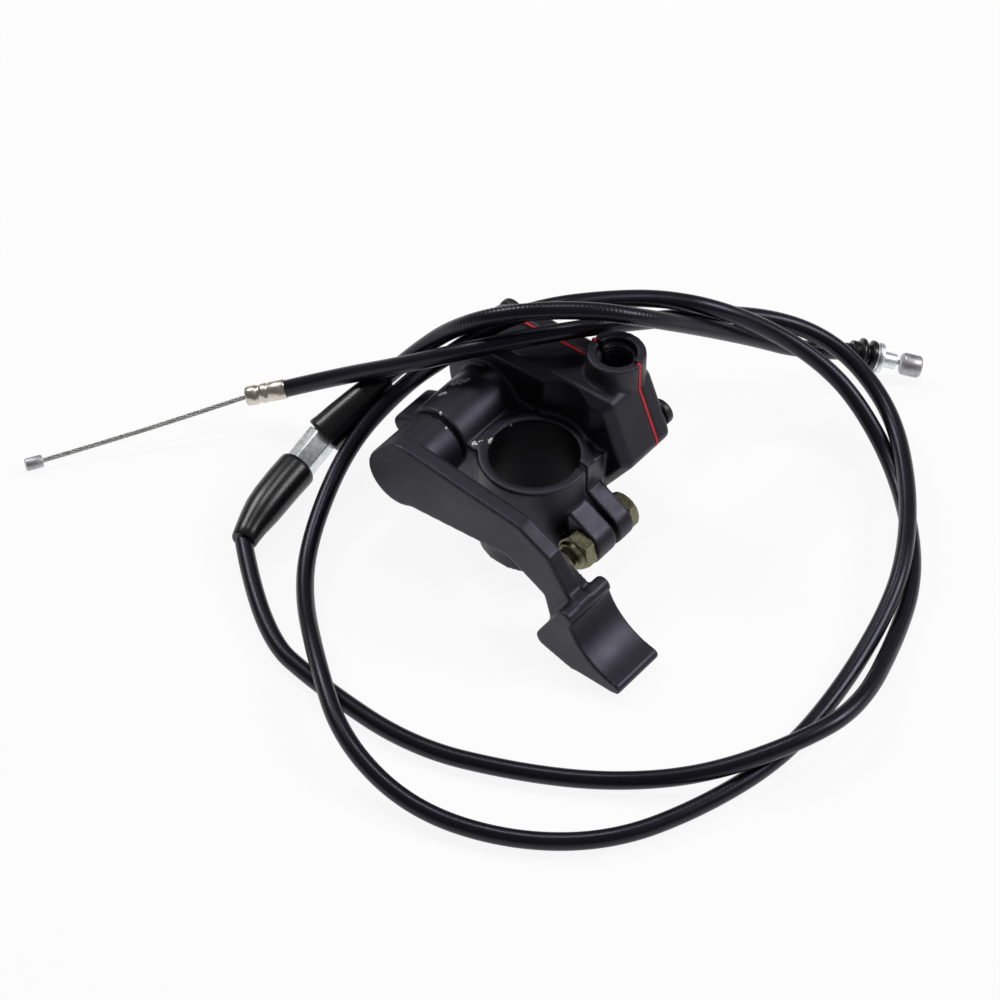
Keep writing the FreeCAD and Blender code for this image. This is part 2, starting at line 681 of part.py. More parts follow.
def cord(label, points, radius):
    """Plain tube of a few flat sides along a cord's route."""
    path, radii = cord_path(points)
    start = Vector(*points[0])
    turn = Rotation(Vector(0, 0, 1), Vector(*points[1]) - start)
    count = int(value("cord_sides"))
    corners = [2 * math.pi * step / count for step in range(count + 1)]
    ring = [start + turn * Vector(math.cos(angle), math.sin(angle), 0) * value(radius) for angle in corners]
    section = Part.makePolygon(ring)
    tube = path.makePipeShell([section], True, False)
    expected = Part.Face(section).Area * path.Length
    print("%s: length %.1f, smallest radius %.1f, volume over section times length %.4f"
          % (label, path.Length, min(radii), tube.Volume / expected))
    piece = doc.addObject("Part::Feature", label)
    piece.Shape = tube
    register(piece, label)


def point_between(start, end, share):
    """Point at a share of the way from one point to another."""
    return tuple(a + (b - a) * share for a, b in zip(start, end))


def heading(start, end):
    """Unit direction and length of the line between two points."""
    run = Vector(*end) - Vector(*start)
    return tuple(run / run.Length), run.Length


def fitting(label, start, end, profile):
    """Turned fitting between two points; its heights are shares of its length."""
    direction, length = heading(start, end)
    outline = [(str(radius), "%s * %.4f" % (share, length)) for radius, share in profile]
    turned(label, [str(number) for number in start], direction, outline)


def rod_profile(radius):
    """Half profile of a plain round rod over the whole of a fitting."""
    return [("0", 0), (radius, 0), (radius, 1), ("0", 1)]


def build_adjuster():
    """Hexagonal adjuster sleeve between the two boots' rims."""
    direction, length = heading(LOWER_RIM, UPPER_RIM)
    body = new_body("adjuster_sleeve")
    add(body, "XY", "0", str(length), draw_polygon, hexagon("0", "0", "adjuster_flats"))
    body.Placement = Placement(Vector(*LOWER_RIM), Rotation(Vector(0, 0, 1), Vector(*direction)))


def build_carburettor_end():
    """Nipple, inner wire and crimped ferrule at the long casing's end."""
    cord("carb_inner_wire", WIRE_ROUTE, "wire_radius")
    fitting("carb_nipple", CARB_NIPPLE_END, WIRE_ROUTE[0], rod_profile("carb_nipple_radius"))
    full = "casing_radius + ferrule_wall"
    ferrule = [("wire_radius", 0), ("casing_radius", 0), (full, 0.05), (full, 0.3), ("casing_radius", 0.35),
               ("casing_radius", 0.42), (full, 0.47), (full, 1), ("wire_radius", 1)]
    fitting("carb_ferrule", WIRE_ROUTE[-1], LONG_ROUTE[0], ferrule)


def build_boots():
    """Rubber boots that taper from the adjuster down to each casing."""
    tip = "casing_radius + boot_tip_wall"
    shoulder = "casing_radius + boot_body_wall"
    rim = "casing_radius + boot_rim_wall"
    boot = [("0", 0), (tip, 0), (shoulder, 0.75), (rim, 0.86), (rim, 1), ("0", 1)]
    fitting("lower_boot", LONG_ROUTE[-1], LOWER_RIM, boot)
    fitting("upper_boot", SHORT_ROUTE[0], UPPER_RIM, boot)


def build_lever_end():
    """Grommet, flanged ferrule, inner wire and nipple at the short casing's end."""
    grommet_end, tube_end, wire_end = [point_between(SHORT_ROUTE[-1], LEVER_END, share) for share in END_SHARES]
    sleeve_radius = "casing_radius + grommet_sleeve_wall"
    flange = "casing_radius + grommet_flange_wall"
    waist = "casing_radius + grommet_waist_wall"
    grommet = [("0", 0), (sleeve_radius, 0), (sleeve_radius, 0.3), (flange, 0.34), (flange, 0.6), (waist, 0.64),
               (waist, 0.74), (flange, 0.78), (flange, 1), ("0", 1)]
    fitting("cable_grommet", SHORT_ROUTE[-1], grommet_end, grommet)
    rim = "casing_radius + flange_wall"
    tube = "casing_radius - end_tube_inset"
    ferrule = [("wire_radius", 0), (rim, 0), (rim, 0.33), (tube, 0.36), (tube, 1), ("wire_radius", 1)]
    fitting("lever_end_ferrule", grommet_end, tube_end, ferrule)
    fitting("lever_inner_wire", grommet_end, wire_end, rod_profile("wire_radius"))
    fitting("lever_nipple", wire_end, LEVER_END, rod_profile("lever_nipple_radius"))


build_housing()
build_cover()
build_gasket()
build_cover_screws()
build_clamp_bolt()
build_clamp_nut()
build_bearings()
build_shaft()
build_cable_arm()
build_spring()
build_lever()
cord("long_cable_casing", LONG_ROUTE, "casing_radius")
cord("short_cable_casing", SHORT_ROUTE, "casing_radius")
build_adjuster()
build_boots()
build_carburettor_end()
build_lever_end()
doc.recompute()

for item in doc.Objects:
    if "Invalid" in item.State or "Error" in item.State:
        raise RuntimeError("%s failed to build: %s" % (item.Label, item.State))
for piece in PARTS:
    if piece.Shape.isNull() or not piece.Shape.isValid() or not piece.Shape.Solids:
        raise RuntimeError("%s has no valid shape" % piece.Label)

os.makedirs("parts", exist_ok=True)
for piece in PARTS:
    piece.Shape.exportStep("parts/%s.step" % piece.Label)
    print(piece.Label, len(piece.Shape.Solids), round(piece.Shape.Volume, 1))
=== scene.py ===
"""Looks of a thumb throttle lever with its detached control cable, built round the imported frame.

The file is laid out as an add-on: a settings group holds the sizes and colours, each operator
builds one group of pieces, and a panel lists them. Places are in metres in the row frame, where
the handlebar clamp's bore runs along Z from the floor and the lever's pivot is parallel to Y.
"""

import json
import math

import bmesh
import bpy
import numpy as np
from bpy.props import FloatProperty, FloatVectorProperty, IntProperty, PointerProperty
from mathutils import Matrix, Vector

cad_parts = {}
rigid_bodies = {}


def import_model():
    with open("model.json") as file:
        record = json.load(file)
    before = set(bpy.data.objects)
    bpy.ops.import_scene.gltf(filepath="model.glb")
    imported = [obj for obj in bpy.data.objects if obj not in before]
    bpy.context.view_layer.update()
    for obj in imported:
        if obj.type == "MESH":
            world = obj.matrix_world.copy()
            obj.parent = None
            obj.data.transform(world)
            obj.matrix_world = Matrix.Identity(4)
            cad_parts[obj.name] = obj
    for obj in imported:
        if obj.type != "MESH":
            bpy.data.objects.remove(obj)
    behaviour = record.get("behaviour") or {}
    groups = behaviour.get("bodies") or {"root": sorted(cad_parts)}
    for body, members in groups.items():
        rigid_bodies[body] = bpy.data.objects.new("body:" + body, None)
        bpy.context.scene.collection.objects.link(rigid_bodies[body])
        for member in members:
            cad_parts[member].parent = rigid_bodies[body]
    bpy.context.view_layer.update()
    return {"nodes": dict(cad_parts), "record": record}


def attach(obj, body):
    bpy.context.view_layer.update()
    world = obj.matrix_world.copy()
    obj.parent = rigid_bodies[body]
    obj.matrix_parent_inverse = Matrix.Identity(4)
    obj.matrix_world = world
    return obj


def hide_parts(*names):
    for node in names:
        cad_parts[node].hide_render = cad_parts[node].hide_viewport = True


bl_info = {
    "name": "Thumb Throttle Looks",
    "version": (1, 0, 0),
    "blender": (4, 5, 0),
    "location": "3D View > Sidebar > Throttle",
    "description": "Dresses the packed thumb throttle lever and its control cable",
    "category": "Object",
}

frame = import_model()
NODES = frame["nodes"]
MM = 0.001

# Control points of the cable's routes, in millimetres, as in the part's source.
LONG_ROUTE = (
    (-72, -9.5, 11), (-59.5, -4, 19), (-41, 0.5, 31.5), (-25.5, 6.2, 42), (-13.5, 17, 46), (-3.5, 29, 46.5),
    (2, 47, 38.5), (7.5, 64, 31), (16, 78, 23.5), (26, 85, 17.5), (37.5, 85.5, 12.5), (51.5, 79.5, 8.5),
    (67, 63.5, 8), (79, 45.5, 8), (85, 30, 5.5), (89.5, 6, 2.5), (91.5, -20, 2.5), (86, -44, 2.5),
    (76, -65.5, 2.5), (57.5, -80.5, 2.5), (34.5, -88, 3.5), (11.5, -85, 7.5), (-8.5, -71, 8.5),
    (-29, -53, 3.5), (-40, -36.5, 4.5), (-47.5, -14, 11), (-43, 2.5, 22), (-32.5, 7.5, 35),
    (-24.5, 15.5, 45), (-16, 26, 48), (-7.7, 39, 45.5), (0, 49.5, 42.5), (10, 58, 39), (19, 69, 29),
    (29.5, 75.5, 20), (40, 77.5, 12), (55, 72.5, 4), (70.5, 59.5, 2.5), (83, 44, 2.5), (90.5, 26, 2.5),
    (99, -1, 8), (94, -20.5, 9), (82, -39, 6), (65, -52, 2.5), (46, -63.5, 2.5), (22.5, -73, 2.5),
    (-6, -72.5, 2.5), (-28.5, -69, 2.5), (-50, -50.5, 4.5),
)
SHORT_ROUTE = (
    (-49.3, 2.6, 20), (-40.3, 8.2, 34), (-27, 9.5, 48.5), (-15.5, 15.6, 54.2), (-3.5, 25.5, 54.5),
    (5.5, 35.3, 50), (10, 52, 37), (14.5, 69, 23), (20.4, 81.6, 12.5), (28, 92.6, 8.5),
)
WIRE_ROUTE = ((-108.6, -60.2, 1.8), (-94, -36.5, 3.6), (-79.5, -16, 8.5))
CARB_NIPPLE_END = (-111, -64.4, 1.8)
LOWER_RIM = (-54.5, -25.3, 6.8)
UPPER_RIM = (-54.1, -15.9, 10.8)
LEVER_END = (42.6, 104, 3)
GROMMET_SHARE, TUBE_SHARE, BARE_WIRE_SHARE = 0.33, 0.63, 0.68

# Places of the clamp's bore, the cable inlet and the bolt, in millimetres.
BORE_RADIUS, RING_HEIGHT = 11.1, 28.0
INLET_X, INLET_Y, INLET_RADIUS = 5.8, 24.0, 3.85
BOLT_X, BOLT_Z = 17.9, 10.2
THREAD_PITCH = 1.0

# Real lengths of the three free stretches of cable.
LONG_LENGTH = 0.957
SHORT_LENGTH = 0.154
WIRE_LENGTH = 0.053


class ThrottleSettings(bpy.types.PropertyGroup):
    """Sizes and colours of the throttle's looks."""

    paint: FloatVectorProperty(name="Paint", description="Colour of the black paint on the castings",
                               subtype="COLOR", default=(0.008, 0.0075, 0.01))
    rubbed_paint: FloatVectorProperty(name="Rubbed paint", description="Paint on the edges that wear first",
                                      subtype="COLOR", default=(0.05, 0.049, 0.055))
    bare_metal: FloatVectorProperty(name="Bare metal", description="Cast aluminium where the paint is chipped",
                                    subtype="COLOR", default=(0.6, 0.59, 0.58))
    sheen: FloatVectorProperty(name="Sheen", description="Cool tint of the black surfaces' highlights",
                               subtype="COLOR", default=(0.8, 0.78, 1.0))
    gasket: FloatVectorProperty(name="Gasket", description="Colour of the case's gasket",
                                subtype="COLOR", default=(0.62, 0.012, 0.03))
    sheath: FloatVectorProperty(name="Sheath", description="Colour of the cable's casing",
                                subtype="COLOR", default=(0.006, 0.006, 0.009))
    rubber: FloatVectorProperty(name="Rubber", description="Colour of the boots and the grommet",
                                subtype="COLOR", default=(0.005, 0.005, 0.007))
    bolt_plating: FloatVectorProperty(name="Bolt plating", description="Yellow-olive zinc of the clamp bolt",
                                      subtype="COLOR", default=(0.2, 0.195, 0.125))
    casing_radius: FloatProperty(name="Casing radius", description="Outer radius of the cable's casing",
                                 default=2.2 * MM, unit="LENGTH")
    rib_pitch: FloatProperty(name="Rib pitch", description="Distance between the casing's fine ribs",
                             default=1.05 * MM, unit="LENGTH")
    rib_height: FloatProperty(name="Rib height", description="How far the short casing's ribs stand out",
                              default=0.03 * MM, unit="LENGTH")
    faint_rib: FloatProperty(name="Faint rib height", description="How far the long casing's ribs stand out",
                             default=0.004 * MM, unit="LENGTH")
    wire_radius: FloatProperty(name="Wire radius", description="Outer radius of the stranded inner wire",
                               default=0.62 * MM, unit="LENGTH")
    voxel: FloatProperty(name="Casting detail", description="Size of the cells that make up cast surfaces",
                         default=0.42 * MM, unit="LENGTH")
    softness: IntProperty(name="Casting softness", description="Smoothing passes that round the cast edges",
                          default=5, min=0)
    azimuth: FloatProperty(name="Camera azimuth", description="Camera's angle round the object, from the front",
                           default=math.radians(39.3), subtype="ANGLE")
    elevation: FloatProperty(name="Camera elevation", description="Camera's angle above the floor",
                             default=math.radians(47.05), subtype="ANGLE")
    lens: FloatProperty(name="Lens", description="Focal length on a 36 mm sensor, in millimetres",
                        default=151.2)


def settings():
    return bpy.context.scene.throttle


def place(point):
    """Point given in millimetres, as metres."""
    return Vector(point) * MM


def share_of(start, end, share):
    return place(start).lerp(place(end), share)


# Materials


def new_material(name):
    """Empty material with one Principled shader; gives the material, its tree and the shader."""
    made = bpy.data.materials.new("finish_" + name)
    made.use_nodes = True
    tree = made.node_tree
    shader = tree.nodes["Principled BSDF"]
    return made, tree, shader


def node(tree, kind, sockets=None, **options):
    """Add a node, set its options, and link or set its input sockets."""
    made = tree.nodes.new(kind)
    for name, setting in options.items():
        setattr(made, name, setting)
    for name, source in (sockets or {}).items():
        if isinstance(source, bpy.types.NodeSocket):
            tree.links.new(source, made.inputs[name])
        else:
            made.inputs[name].default_value = source
    return made


def object_coordinates(tree):
    return node(tree, "ShaderNodeTexCoord").outputs["Object"]


def grain(tree, scale, detail=3.0, roughness=0.5):
    """Noise on the piece's own coordinates; scale is in cells per metre."""
    made = node(tree, "ShaderNodeTexNoise", {"Vector": object_coordinates(tree), "Scale": scale,
                                             "Detail": detail, "Roughness": roughness})
    return made.outputs["Fac"]


def span(tree, source, low, high, to_low=0.0, to_high=1.0):
    made = node(tree, "ShaderNodeMapRange", {"Value": source, "From Min": low, "From Max": high,
                                             "To Min": to_low, "To Max": to_high})
    return made.outputs["Result"]


def combine(tree, operation, first, second):
    made = node(tree, "ShaderNodeMath", {0: first, 1: second}, operation=operation)
    return made.outputs[0]


def blend_colours(tree, share, first, second):
    made = node(tree, "ShaderNodeMix", {"Factor": share}, data_type="RGBA")
    for socket, colour in ((made.inputs[6], first), (made.inputs[7], second)):
        if isinstance(colour, bpy.types.NodeSocket):
            tree.links.new(colour, socket)
        else:
            socket.default_value = (*colour, 1)
    return made.outputs[2]


def bump(tree, shader, height, distance, strength=1.0, under=None):
    """Bump the shader's normal by a height; distance is in metres."""
    sockets = {"Height": height, "Distance": distance, "Strength": strength}
    if under is not None:
        sockets["Normal"] = under
    made = node(tree, "ShaderNodeBump", sockets)
    tree.links.new(made.outputs["Normal"], shader.inputs["Normal"])
    return made.outputs["Normal"]


def black_paint():
    """Satin black paint over cast aluminium: fine orange peel, dust, worn edges, placed chips, and painted shade
    in the clamp's bore, whose specular level is turned down.
    """
    made, tree, shader = new_material("black_paint")
    edge = node(tree, "ShaderNodeAttribute", attribute_name="edge").outputs["Fac"]
    patchy = grain(tree, 420, 4, 0.65)
    worn = combine(tree, "MULTIPLY", span(tree, edge, 0.14, 0.26), span(tree, patchy, 0.66, 0.72))
    chips = node(tree, "ShaderNodeAttribute", attribute_name="chip").outputs["Fac"]
    ragged = combine(tree, "ADD", chips, span(tree, grain(tree, 1300, 3), 0.3, 0.7, -0.3, 0.3))
    bare = combine(tree, "MAXIMUM", worn, span(tree, ragged, 0.5, 0.6))
    dusty = span(tree, grain(tree, 260, 5, 0.7), 0.62, 0.8, 0.0, 0.06)
    paint = blend_colours(tree, dusty, settings().paint, (0.2, 0.19, 0.19))
    rubbed = blend_colours(tree, span(tree, edge, 0.06, 0.2, 0.0, 0.5), paint, settings().rubbed_paint)
    tree.links.new(blend_colours(tree, bare, rubbed, settings().bare_metal), shader.inputs["Base Color"])
    sheen = span(tree, grain(tree, 90, 4, 0.6), 0.3, 0.7, 0.38, 0.5)
    tree.links.new(sheen, shader.inputs["Roughness"])
    tree.links.new(combine(tree, "MULTIPLY", bare, 0.7), shader.inputs["Metallic"])
    shader.inputs["Specular Tint"].default_value = (*settings().sheen, 1)
    # Painted shade: inside the clamp's bore the specular level drops, so the bore reads dark as if it were in
    # shadow.
    inside = node(tree, "ShaderNodeAttribute", attribute_name="bore").outputs["Fac"]
    tree.links.new(span(tree, inside, 0.0, 1.0, 0.5, 0.06), shader.inputs["Specular IOR Level"])
    thread = node(tree, "ShaderNodeAttribute", attribute_name="thread").outputs["Fac"]
    height = node(tree, "ShaderNodeSeparateXYZ", {"Vector": object_coordinates(tree)}).outputs["Z"]
    turns = combine(tree, "SINE", combine(tree, "MULTIPLY", height, 2 * math.pi / (THREAD_PITCH * MM)), 0.0)
    peel = bump(tree, shader, grain(tree, 1400, 2), 0.05 * MM, 0.35)
    uneven = bump(tree, shader, grain(tree, 230, 2), 0.12 * MM, 0.4, under=peel)
    bump(tree, shader, combine(tree, "MULTIPLY", turns, thread), 0.2 * MM, 0.8, under=uneven)
    return made


def plain(name, colour, roughness, metallic=0.0, grain_scale=900, grain_depth=0.03):
    """Uniform finish with a little grain in its bump."""
    made, tree, shader = new_material(name)
    shader.inputs["Base Color"].default_value = (*colour, 1)
    shader.inputs["Roughness"].default_value = roughness
    shader.inputs["Metallic"].default_value = metallic
    bump(tree, shader, grain(tree, grain_scale), grain_depth * MM, 0.5)
    return made


def zinc_plate(name, colour, roughness=0.3, stain=(0.2, 0.18, 0.14)):
    """Zinc plate with faint stains and fine scratches."""
    made, tree, shader = new_material(name)
    cloudy = span(tree, grain(tree, 500, 5, 0.65), 0.45, 0.75, 0.0, 0.6)
    tree.links.new(blend_colours(tree, cloudy, colour, stain), shader.inputs["Base Color"])
    tree.links.new(span(tree, grain(tree, 900, 4), 0.3, 0.7, roughness - 0.06, roughness + 0.14),
                   shader.inputs["Roughness"])
    shader.inputs["Metallic"].default_value = 1.0
    bump(tree, shader, grain(tree, 1800, 3), 0.012 * MM, 0.4)
    return made


def sheath():
    """Smooth black plastic sheath of the casings."""
    made, tree, shader = new_material("casing")
    shader.inputs["Base Color"].default_value = (*settings().sheath, 1)
    shader.inputs["Specular IOR Level"].default_value = 0.4
    shader.inputs["Specular Tint"].default_value = (*settings().sheen, 1)
    tree.links.new(span(tree, grain(tree, 120, 4), 0.3, 0.7, 0.28, 0.36), shader.inputs["Roughness"])
    bump(tree, shader, grain(tree, 700, 3), 0.03 * MM, 0.3)
    return made


def red_gasket():
    made, tree, shader = new_material("red_gasket")
    darker = tuple(part * 0.7 for part in settings().gasket)
    mottled = blend_colours(tree, span(tree, grain(tree, 700), 0.35, 0.7), settings().gasket, darker)
    tree.links.new(mottled, shader.inputs["Base Color"])
    shader.inputs["Roughness"].default_value = 0.55
    bump(tree, shader, grain(tree, 2500), 0.04 * MM, 0.5)
    return made


def finish_of(slot):
    """Material for a slot of the record, made once."""
    found = bpy.data.materials.get("finish_" + slot)
    if found:
        return found
    makers = {
        "black_paint": black_paint,
        "casing": sheath,
        "red_gasket": red_gasket,
        "black_steel": lambda: plain("black_steel", (0.02, 0.02, 0.021), 0.4, 0.3),
        "olive_zinc": lambda: zinc_plate("olive_zinc", settings().bolt_plating, 0.3, (0.07, 0.065, 0.035)),
        "rubber": lambda: plain("rubber", settings().rubber, 0.3, 0.0, 500, 0.03),
        "bronze": lambda: zinc_plate("bronze", (0.5, 0.33, 0.16), 0.35),
        "spring_steel": lambda: zinc_plate("spring_steel", (0.35, 0.35, 0.36), 0.3),
        "steel": lambda: zinc_plate("steel", (0.55, 0.55, 0.56), 0.28),
        "washer_plastic": lambda: plain("washer_plastic", (0.7, 0.68, 0.62), 0.4),
        "dull_zinc": lambda: zinc_plate("dull_zinc", (0.5, 0.49, 0.51), 0.46, (0.24, 0.23, 0.25)),
        "wire_rope": lambda: zinc_plate("wire_rope", (0.5, 0.5, 0.5), 0.34),
        "nickel": lambda: zinc_plate("nickel", (0.72, 0.66, 0.58), 0.3, (0.45, 0.38, 0.3)),
        "bright_zinc": lambda: zinc_plate("bright_zinc", (0.86, 0.9, 0.9), 0.42, (0.6, 0.68, 0.7)),
    }
    return makers[slot]()


# Meshes


def link_mesh(name, mesh):
    made = bpy.data.objects.new(name, mesh)
    bpy.context.scene.collection.objects.link(made)
    return made


def dress(piece, slot, body, *stands_for):
    """Give a piece its finish, its body and the CAD nodes that it stands for."""
    piece.data.materials.clear()
    piece.data.materials.append(finish_of(slot))
    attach(piece, body)
    if stands_for:
        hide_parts(*stands_for)
    return piece


def smooth_shading(piece, angle=35):
    """Smooth faces, sharp where they meet at more than an angle in degrees."""
    piece.data.polygons.foreach_set("use_smooth", [True] * len(piece.data.polygons))
    piece.data.set_sharp_from_angle(angle=math.radians(angle))
    piece.data.update()


def flattened(piece):
    """The piece's evaluated mesh in place of its modifiers."""
    graph = bpy.context.evaluated_depsgraph_get()
    made = bpy.data.meshes.new_from_object(piece.evaluated_get(graph))
    piece.modifiers.clear()
    piece.data = made
    return piece


def copy_of(node_name, name):
    """Copy of a CAD node with its loose triangles joined."""
    made = link_mesh(name, NODES[node_name].data.copy())
    work = bmesh.new()
    work.from_mesh(made.data)
    bmesh.ops.remove_doubles(work, verts=work.verts, dist=1e-6)
    bmesh.ops.dissolve_limit(work, angle_limit=math.radians(1), verts=work.verts, edges=work.edges)
    work.to_mesh(made.data)
    work.free()
    return made


def softened(piece, width, segments=3):
    """Bevel a hard-surface piece's edges."""
    edge = piece.modifiers.new("Edges", "BEVEL")
    edge.width = width
    edge.segments = segments
    edge.limit_method = "ANGLE"
    edge.angle_limit = math.radians(32)
    edge.harden_normals = False
    flattened(piece)
    smooth_shading(piece)
    return piece


def cast(piece):
    """Turn a piece into one cast skin with soft edges."""
    cells = piece.modifiers.new("Cells", "REMESH")
    cells.mode = "VOXEL"
    cells.voxel_size = settings().voxel
    ease = piece.modifiers.new("Ease", "SMOOTH")
    ease.factor = 0.5
    ease.iterations = settings().softness
    flattened(piece)
    smooth_shading(piece, 180)
    return piece


def trimmed(piece, tool, operation):
    """Cut a piece by a tool mesh, or keep only what lies in it; the tool goes."""
    trim = piece.modifiers.new("Trim", "BOOLEAN")
    trim.operation = operation
    trim.object = tool
    flattened(piece)
    bpy.data.objects.remove(tool)
    return piece


def hull(name, points):
    """Convex solid round points given in millimetres."""
    work = bmesh.new()
    for point in points:
        work.verts.new(place(point))
    bmesh.ops.convex_hull(work, input=work.verts)
    bmesh.ops.recalc_face_normals(work, faces=work.faces)
    mesh = bpy.data.meshes.new(name)
    work.to_mesh(mesh)
    work.free()
    return link_mesh(name, mesh)


def joined(first, second):
    """Both meshes as one piece."""
    work = bmesh.new()
    work.from_mesh(first.data)
    work.from_mesh(second.data)
    work.to_mesh(first.data)
    work.free()
    bpy.data.objects.remove(second)
    return first


def mark_wear_and_shade(piece, chips):
    """Store how far each vertex stands out as an edge, how near it is to a chip, where the clamp's bore takes
    painted shade, and where the inlet's thread is.
    """
    mesh = piece.data
    count = len(mesh.vertices)
    places = np.zeros(count * 3)
    mesh.vertices.foreach_get("co", places)
    places = places.reshape(-1, 3)
    normals = np.zeros(count * 3)
    mesh.vertices.foreach_get("normal", normals)
    normals = normals.reshape(-1, 3)
    pairs = np.zeros(len(mesh.edges) * 2, int)
    mesh.edges.foreach_get("vertices", pairs)
    first, second = pairs.reshape(-1, 2).T
    run = places[second] - places[first]
    run /= np.maximum(np.linalg.norm(run, axis=1), 1e-9)[:, None]
    total = np.zeros(count)
    share = np.zeros(count)
    np.add.at(total, first, -(run * normals[first]).sum(1))
    np.add.at(total, second, (run * normals[second]).sum(1))
    np.add.at(share, first, 1)
    np.add.at(share, second, 1)
    edge = mesh.attributes.new("edge", "FLOAT", "POINT")
    edge.data.foreach_set("value", total / np.maximum(share, 1))
    nearness = np.zeros(count)
    for x, y, z, radius in chips:
        gap = np.linalg.norm(places / MM - (x, y, z), axis=1)
        nearness = np.maximum(nearness, 1 - gap / (2 * radius))
    across, depth, height = (places / MM).T
    # Painted shade: marks the inside of the clamp's bore, where the paint's specular is turned down.
    bore_shade_mask = (np.hypot(across, depth) < BORE_RADIUS + 0.4) & (height > -1) & (height < RING_HEIGHT - 0.3)
    in_inlet = (np.hypot(across - INLET_X, depth - INLET_Y) < INLET_RADIUS + 0.4) & (height > RING_HEIGHT)
    for label, amount in (("chip", nearness), ("bore", bore_shade_mask), ("thread", in_inlet)):
        stored = mesh.attributes.new(label, "FLOAT", "POINT")
        stored.data.foreach_set("value", amount.astype(float))


def turned(name, stops, profile, sides=48):
    """Round piece along a bent line: stops are its line's start, middle handle and end, and the
    profile is (share of the way, radius in millimetres)."""
    start, handle, end = stops
    work = bmesh.new()
    rings = []
    side = None
    for share, radius in profile:
        centre = start.lerp(handle, share).lerp(handle.lerp(end, share), share)
        forward = ((handle - start) * (1 - share) + (end - handle) * share).normalized()
        if side is None:
            side = forward.orthogonal()
        side = (side - forward * side.dot(forward)).normalized()
        other = forward.cross(side)
        ring = []
        for step in range(sides):
            angle = 2 * math.pi * step / sides
            offset = side * math.cos(angle) + other * math.sin(angle)
            ring.append(work.verts.new(centre + offset * radius * MM))
        rings.append(ring)
    for low, high in zip(rings, rings[1:]):
        for step in range(sides):
            after = (step + 1) % sides
            work.faces.new((low[step], low[after], high[after], high[step]))
    work.faces.new(list(reversed(rings[0])))
    work.faces.new(rings[-1])
    bmesh.ops.recalc_face_normals(work, faces=work.faces)
    mesh = bpy.data.meshes.new(name)
    work.to_mesh(mesh)
    work.free()
    made = link_mesh(name, mesh)
    smooth_shading(made, 40)
    return made


def straight(start, end):
    """Stops of a turned piece with no bend."""
    return start, (start + end) / 2, end


# Cables, made by geometry nodes along their routes


def route_curve(name, points):
    """Open smooth curve through a route's control points."""
    curve = bpy.data.curves.new(name, "CURVE")
    curve.dimensions = "3D"
    curve.resolution_u = 24
    line = curve.splines.new("NURBS")
    line.points.add(len(points) - 1)
    for spot, point in zip(line.points, points):
        spot.co = (*place(point), 1)
    line.order_u = 3
    line.use_endpoint_u = True
    made = bpy.data.objects.new(name, curve)
    bpy.context.scene.collection.objects.link(made)
    return made


def add_socket(tree, name, kind, default=None):
    socket = tree.interface.new_socket(name, in_out="INPUT", socket_type=kind)
    if default is not None:
        socket.default_value = default
    return socket


def path_tree(name, numbers):
    """Geometry tree with a path object, a material and named numbers as its inputs."""
    tree = bpy.data.node_groups.new(name, "GeometryNodeTree")
    tree.interface.new_socket("Geometry", in_out="OUTPUT", socket_type="NodeSocketGeometry")
    add_socket(tree, "Path", "NodeSocketObject")
    add_socket(tree, "Finish", "NodeSocketMaterial")
    for label in numbers:
        add_socket(tree, label, "NodeSocketFloat", 1.0)
    given = tree.nodes.new("NodeGroupInput").outputs
    path = node(tree, "GeometryNodeObjectInfo", {"Object": given["Path"]}).outputs["Geometry"]
    return tree, given, path


def resampled(tree, path, step):
    made = node(tree, "GeometryNodeResampleCurve", {"Curve": path, "Length": step}, mode="LENGTH")
    return made.outputs["Curve"]


def close_tree(tree, mesh, given):
    """Real mesh with its finish as the tree's result."""
    real = node(tree, "GeometryNodeRealizeInstances", {"Geometry": mesh}).outputs[0]
    smooth = node(tree, "GeometryNodeSetShadeSmooth", {"Geometry": real}).outputs[0]
    done = node(tree, "GeometryNodeSetMaterial", {"Geometry": smooth, "Material": given["Finish"]})
    result = tree.nodes.new("NodeGroupOutput")
    tree.links.new(done.outputs[0], result.inputs["Geometry"])


def ring_profile(tree, sides, radius):
    made = node(tree, "GeometryNodeCurvePrimitiveCircle", {"Resolution": sides, "Radius": radius})
    return made.outputs["Curve"]


def casing_tree(sides):
    """Casing: a tube whose radius swells at each rib."""
    tree, given, path = path_tree("casing_tube", ("Radius", "Rib pitch", "Rib height"))
    line = resampled(tree, path, combine(tree, "DIVIDE", given["Rib pitch"], 4.0))
    along = node(tree, "GeometryNodeSplineParameter").outputs["Length"]
    phase = combine(tree, "MULTIPLY", combine(tree, "DIVIDE", along, given["Rib pitch"]), 2 * math.pi)
    wave = combine(tree, "MULTIPLY", combine(tree, "SINE", phase, 0.0), given["Rib height"])
    swollen = combine(tree, "ADD", given["Radius"], wave)
    tube = node(tree, "GeometryNodeCurveToMesh", {
        "Curve": line, "Profile Curve": ring_profile(tree, sides, 1.0), "Scale": swollen, "Fill Caps": True})
    close_tree(tree, tube.outputs[0], given)
    return tree


